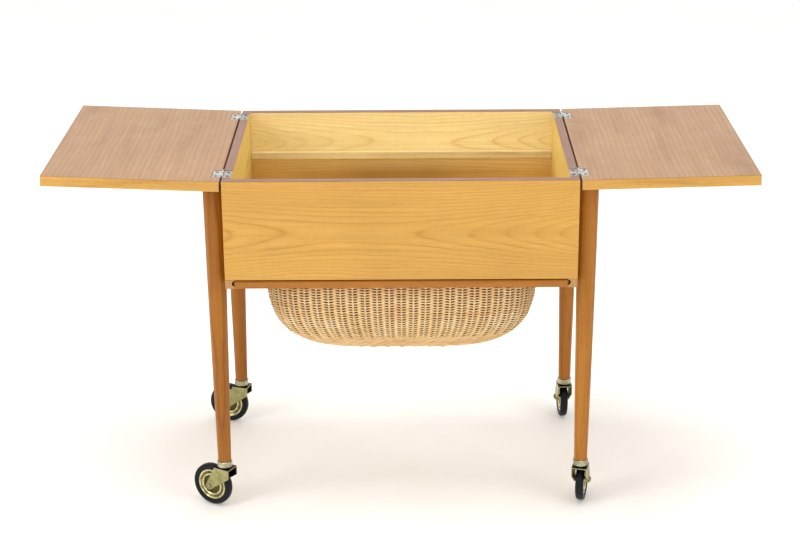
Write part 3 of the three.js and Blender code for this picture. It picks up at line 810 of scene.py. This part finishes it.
def add_basket():
    wall = Wall()
    rng = np.random.default_rng(11)
    cane = wicker_material()
    ends = (SIDE_END, BANDS_END, BASE_END, CENTRE_END)
    side_end, bands_end, base_end, centre_end = map(wall.length_at, ends)
    below_border = 4.5 * MM
    stakes = 2 * round(wall.round[-1] / STAKE_SPACING / 2)
    pieces = weave_band("basket_side", wall, below_border, side_end, stakes, SIDE_PITCH, rng, cane)
    # Twisted rows, closer and smoother than the weave, lead from the side to the base
    middle = (side_end + bands_end) / 2
    for label, start, end in (("upper", side_end, middle), ("lower", middle, bands_end)):
        rows = np.arange(start + 2 * MM, end, TWIST_PITCH)
        radii = (1.4 * MM, 1.6 * MM)
        pieces.append(add_twists(f"basket_band_{label}", wall, rows, stakes // 2, radii, rng, cane))
    # Fewer stakes reach in under the base, and fewer still its middle
    for label, start, end, share in (("base", bands_end, base_end, 4),
                                     ("middle", base_end, centre_end, 8)):
        pieces += weave_band(f"basket_{label}", wall, start, end, stakes // share * 2, BASE_PITCH, rng, cane,
                             THICK_REED)
    rim = np.array([1.6, 3.2]) * MM
    pieces.append(add_twists("basket_border", wall, rim, 60, (1.5 * MM, 1.5 * MM), rng, cane))
    place = Matrix.Translation(wall.centre + Vector((0, 0, wall.height[-1])))
    vertices, faces = lathe(BUTTON, 40, place)
    pieces.append(add_strands("basket_button", np.array([tuple(v) for v in vertices]), faces,
                              np.full(len(vertices), 0.5), cane))
    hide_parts("basket")


# ---------------------------------------------------------------- hinges

HEAD_R = 2.7 * MM
HEAD_RISE = 0.25 * MM
HEAD_SUNK = 0.5 * MM
SLOT_HALF = 0.3 * MM
SLOT_DEEP = 0.35 * MM
SCREW_FROM_PIN = 9.3 * MM
SCREW_FROM_MIDDLE = 10.5 * MM  # along its plate
PLATE_SUNK = 0.5 * MM  # below the rim
SCREW_COUNT = 16  # two in each of the eight plates
BOX_FACES = [(0, 1, 3, 2), (4, 6, 7, 5), (0, 4, 5, 1), (2, 3, 7, 6), (0, 2, 6, 4), (1, 5, 7, 3)]


def cut_slot(piece, name, matrix):
    """Cut a straight slot across a screw head."""
    reach = 2 * HEAD_R
    vertices = [matrix @ Vector((x, y, z))
                for x in (-reach, reach)
                for y in (-SLOT_HALF, SLOT_HALF)
                for z in (HEAD_RISE - SLOT_DEEP, HEAD_RISE + SLOT_DEEP)]
    cutter = bpy.data.meshes.new(name + "_slot")
    cutter.from_pydata(vertices, [], BOX_FACES)
    tool = bpy.data.objects.new(name + "_slot", cutter)
    bpy.context.scene.collection.objects.link(tool)
    cut = piece.modifiers.new("slot", "BOOLEAN")
    cut.operation = "DIFFERENCE"
    cut.object = tool
    cut.solver = "EXACT"
    bpy.context.view_layer.objects.active = piece
    bpy.context.view_layer.update()
    graph = bpy.context.evaluated_depsgraph_get()
    cut_mesh = bpy.data.meshes.new_from_object(piece.evaluated_get(graph))
    piece.modifiers.clear()
    piece.data = cut_mesh
    bpy.data.objects.remove(tool)


def add_screw(name, place, body, material, turn):
    """A slotted countersunk screw head, set a little proud of its plate."""
    matrix = place @ Matrix.Rotation(turn, 4, "Z")
    head = [(0, -HEAD_SUNK), (HEAD_R, -HEAD_SUNK), (HEAD_R, HEAD_RISE * 0.4), (HEAD_R * 0.8, HEAD_RISE),
            (0, HEAD_RISE)]
    vertices, faces = lathe(head, 24, matrix)
    piece = add_piece(name, vertices, faces, material, body)
    cut_slot(piece, name, matrix)


def dress_hinges(nickel, darker_plate, steel):
    turns = iter(np.random.default_rng(5).uniform(0, math.pi, SCREW_COUNT))
    top = RIM_Z - PLATE_SUNK
    for hand, side in (("left", -1), ("right", 1)):
        joint = JOINTS[f"leaf_{hand}_hinge"]
        pin = Vector(joint["pos_m"])
        lean = Matrix.Rotation(-side * open_tilt(joint), 4, "Y")
        rim_x = side * (abs(pin.x) - SCREW_FROM_PIN)
        spot = lean @ Vector((side * SCREW_FROM_PIN, 0, top - pin.z))
        for end in ("front", "back"):
            base = f"hinge_{hand}_{end}"
            soften(f"{base}_leaf_plate", nickel, 0.25 * MM)
            soften(f"{base}_rim_plate", darker_plate, 0.25 * MM)
            NODES[f"{base}_pin"].data.materials.clear()
            NODES[f"{base}_pin"].data.materials.append(darker_plate)
            lo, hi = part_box(f"{base}_rim_plate")
            for n, offset in enumerate((-SCREW_FROM_MIDDLE, SCREW_FROM_MIDDLE)):
                y = (lo.y + hi.y) / 2 + offset
                on_rim = Matrix.Translation((rim_x, y, top))
                add_screw(f"{base}_rim_screw_{n}", on_rim, "trolley", steel, next(turns))
                on_leaf = Matrix.Translation((pin.x + spot.x, y, pin.z + spot.z)) @ lean
                add_screw(f"{base}_leaf_screw_{n}", on_leaf, f"leaf_{hand}", steel, next(turns))


# ---------------------------------------------------------------- castors

def mirrored(half):
    """A closed profile from one half's (radius, half thickness) pairs."""
    return [(r, -h) for r, h in half] + [(r, h) for r, h in reversed(half)]


# [radius, half thickness], from the bore out: hub, dished disc, raised ring, flange under the tyre's lip
WHEEL_HALF = in_mm([(3.2, 10.4), (6.2, 10.4), (7.2, 9.4), (7.6, 5.8), (9.0, 3.4), (12.0, 2.4), (15.0, 2.2),
                    (16.2, 3.4), (16.8, 5.2), (17.8, 6.0), (18.8, 6.0), (19.8, 5.2), (20.4, 3.4), (22.0, 2.8),
                    (23.2, 3.4), (24.0, 4.8), (25.2, 5.5), (26.6, 5.5), (27.6, 5.0), (27.8, 4.2)])
DISC_R = 28 * MM
TYRE_HALF = in_mm([(27.9, 4.6), (28.0, 6.2), (28.8, 6.8), (30.4, 7.0), (33.6, 6.9), (35.4, 6.2), (36.5, 4.6),
                   (37.0, 2.2)])
# The axle's domed head and the shank beside it
AXLE_HALF = in_mm([(0, 16.1), (2.4, 15.8), (4.2, 14.8), (4.9, 13.6), (3, 13.5)])
INSIDE_CHEEKS = 11.6 * MM  # from the middle of a fork to just inside the metal of its cheeks


def from_axle(shader, castor):
    """Distances from a castor's axle line, and from its stem along that line."""
    across = Vector(JOINTS[f"{castor}_spin"]["axis"])
    from_hub = shader.place(shader.coords(), location=-Vector(JOINTS[f"{castor}_spin"]["pos_m"]))
    along = shader.node("ShaderNodeVectorMath", operation="DOT_PRODUCT")
    shader.feed(along.inputs[0], from_hub)
    shader.feed(along.inputs[1], across)
    reach = shader.node("ShaderNodeVectorMath", operation="LENGTH")
    shader.feed(reach.inputs[0], from_hub)
    along = along.outputs["Value"]
    radius = shader.math("SQRT", shader.math("SUBTRACT", shader.math("POWER", reach.outputs["Value"], 2.0),
                                             shader.math("POWER", along, 2.0), clamp=True))
    return radius, shader.math("ABSOLUTE", along)


def fork_material(castor):
    """Pressed brass: bright outside, with painted shade on its top and between the cheeks."""
    shader = Shader(f"{castor}_fork_brass", metallic=1.0)
    crown_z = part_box(f"{castor}_stem")[0].z - 1.5 * MM
    between = shader.math("LESS_THAN", from_axle(shader, castor)[1], INSIDE_CHEEKS)
    under = shader.math("LESS_THAN", shader.split(shader.coords())[2], crown_z)
    normal = shader.split(shader.node("ShaderNodeNewGeometry").outputs["Normal"])
    looks_up = shader.remap(normal[2], 0.6, 0.9, 0.0, 1.0)
    # Painted shade on the faces that look up and between the cheeks below the crown
    painted_shade = shader.math("MAXIMUM", masked(shader, between, under), looks_up)
    patch = shader.noise(shader.coords(), 70, 4.0, 0.65)
    colour = shader.mix(shader.remap(patch, 0.4, 0.68, 0.0, 0.55), rgb(172, 167, 116), rgb(118, 112, 72))
    colour = shader.mix(shader.math("MULTIPLY", painted_shade, 0.88), colour, rgb(40, 26, 18))
    return scuffed(shader, colour, shader.vary(patch, 0.26, 0.46))


def disc_material(castor):
    """Pressed brass wheel: the raised rings carry a painted highlight, the dishes between them are painted
    darker.
    """
    shader = Shader(f"{castor}_disc_brass", metallic=1.0)
    radius = shader.math("DIVIDE", from_axle(shader, castor)[0], DISC_R)
    patch = shader.noise(shader.coords(), 120, 4.0, 0.65)
    # Painted highlight on the raised rings; darker towards the dishes; tarnish patches over all
    bright, mid, dark_brass = rgb(232, 224, 178), rgb(172, 162, 110), rgb(88, 80, 44)
    colour = shader.ramp(radius, [(0.0, mid), (0.28, mid), (0.36, dark_brass), (0.56, dark_brass), (0.62, bright),
                                  (0.70, bright), (0.76, dark_brass), (0.84, mid), (0.90, bright), (1.0, mid)])
    colour = shader.mix(shader.remap(patch, 0.42, 0.68, 0.0, 0.6), colour, dark_brass)
    return scuffed(shader, colour, shader.vary(patch, 0.18, 0.36))


def add_wheel(castor, at_axle, rubber):
    body = f"{castor}_wheel_body"
    vertices, faces = lathe(mirrored(WHEEL_HALF), 72, at_axle)
    add_piece(f"{castor}_disc", vertices, faces, disc_material(castor), body, [f"{castor}_wheel"],
              sharp_degrees=30)
    vertices, faces = lathe(mirrored(TYRE_HALF), 96, at_axle)
    add_piece(f"{castor}_rubber", vertices, faces, rubber, body, [f"{castor}_tyre"],
              sharp_degrees=60)


def add_rivet(castor, at_axle, metal):
    vertices, faces = lathe(mirrored(AXLE_HALF), 32, at_axle)
    add_piece(f"{castor}_rivet", vertices, faces, metal, f"{castor}_swivel",
              [f"{castor}_axle"])


def add_ring(castor, at_stem, metal):
    """The plated ferrule, with a bead round each end and a blind hole for the stem."""
    lo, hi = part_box(f"{castor}_ferrule")
    low, high = lo.z / MM, hi.z / MM
    radius = (hi.x - lo.x) / 2 / MM
    cup = in_mm([(0, high - 1.8), (5.4, high - 1.8), (5.4, low), (radius - 1, low), (radius, low + 0.8),
                 (radius, low + 2.4), (radius - 0.5, low + 2.9), (radius - 0.5, high - 3.2),
                 (radius, high - 2.6), (radius, high - 0.8), (radius - 1, high), (0, high)])
    vertices, faces = lathe(cup, 64, at_stem)
    add_piece(f"{castor}_ring", vertices, faces, metal, "trolley", [f"{castor}_ferrule"])


def add_race(castor, at_stem, metal):
    """The stem, with the swivel's race as a collar at its foot."""
    lo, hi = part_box(f"{castor}_stem")
    low, high = lo.z / MM, hi.z / MM
    race = in_mm([(0, low), (8.1, low), (8.5, low + 0.5), (8.5, low + 1.3), (8.1, low + 1.8), (5, low + 1.8),
                  (5, high), (0, high)])
    vertices, faces = lathe(race, 48, at_stem)
    add_piece(f"{castor}_race", vertices, faces, metal, f"{castor}_swivel", [f"{castor}_stem"])


def add_castors(nickel, rivet, steel, rubber):
    for castor in CASTORS:
        stem = Vector(JOINTS[f"{castor}_turn"]["pos_m"])
        spin = JOINTS[f"{castor}_spin"]
        across = Vector(spin["axis"]).to_track_quat("Z", "Y").to_matrix().to_4x4()
        at_axle = Matrix.Translation(Vector(spin["pos_m"])) @ across
        at_stem = Matrix.Translation((stem.x, stem.y, 0))
        add_wheel(castor, at_axle, rubber)
        soften(f"{castor}_fork", fork_material(castor), 0.6 * MM, 3)
        add_rivet(castor, at_axle, rivet)
        add_ring(castor, at_stem, nickel)
        add_race(castor, at_stem, steel)


# ---------------------------------------------------------------- floor

def add_floor():
    reach = 8.0
    mesh = bpy.data.meshes.new("floor")
    level = FLOOR_LEVEL - 0.1 * MM
    corners = [(-reach, -reach, level), (reach, -reach, level), (reach, reach, level), (-reach, reach, level)]
    mesh.from_pydata(corners, [], [(0, 1, 2, 3)])
    mesh.materials.append(floor_material())
    floor = bpy.data.objects.new("floor", mesh)
    bpy.context.scene.collection.objects.link(floor)


add_camera()
add_studio()
add_floor()
dress_boards()
add_legs()
add_basket()
NICKEL = metal_material("nickel_plate", rgb(228, 228, 222), rgb(112, 106, 96), 0.34, 0.8, 150.0)
# A darker copy of the nickel, for the rim plates and the pins
DARKER_NICKEL = metal_material("darker_nickel", rgb(196, 195, 184), rgb(98, 92, 82), 0.36, 0.8, 150.0)
FERRULE = metal_material("ferrule_plate", rgb(190, 190, 162), rgb(120, 114, 86), 0.26, 0.6)
RIVET = metal_material("rivet_plate", rgb(158, 152, 112), rgb(92, 84, 56), 0.32, 0.7)
STEEL = metal_material("dark_steel", rgb(78, 70, 60), rgb(36, 30, 26), 0.42, 0.6)
dress_hinges(NICKEL, DARKER_NICKEL, STEEL)
add_castors(FERRULE, RIVET, STEEL, rubber_material())
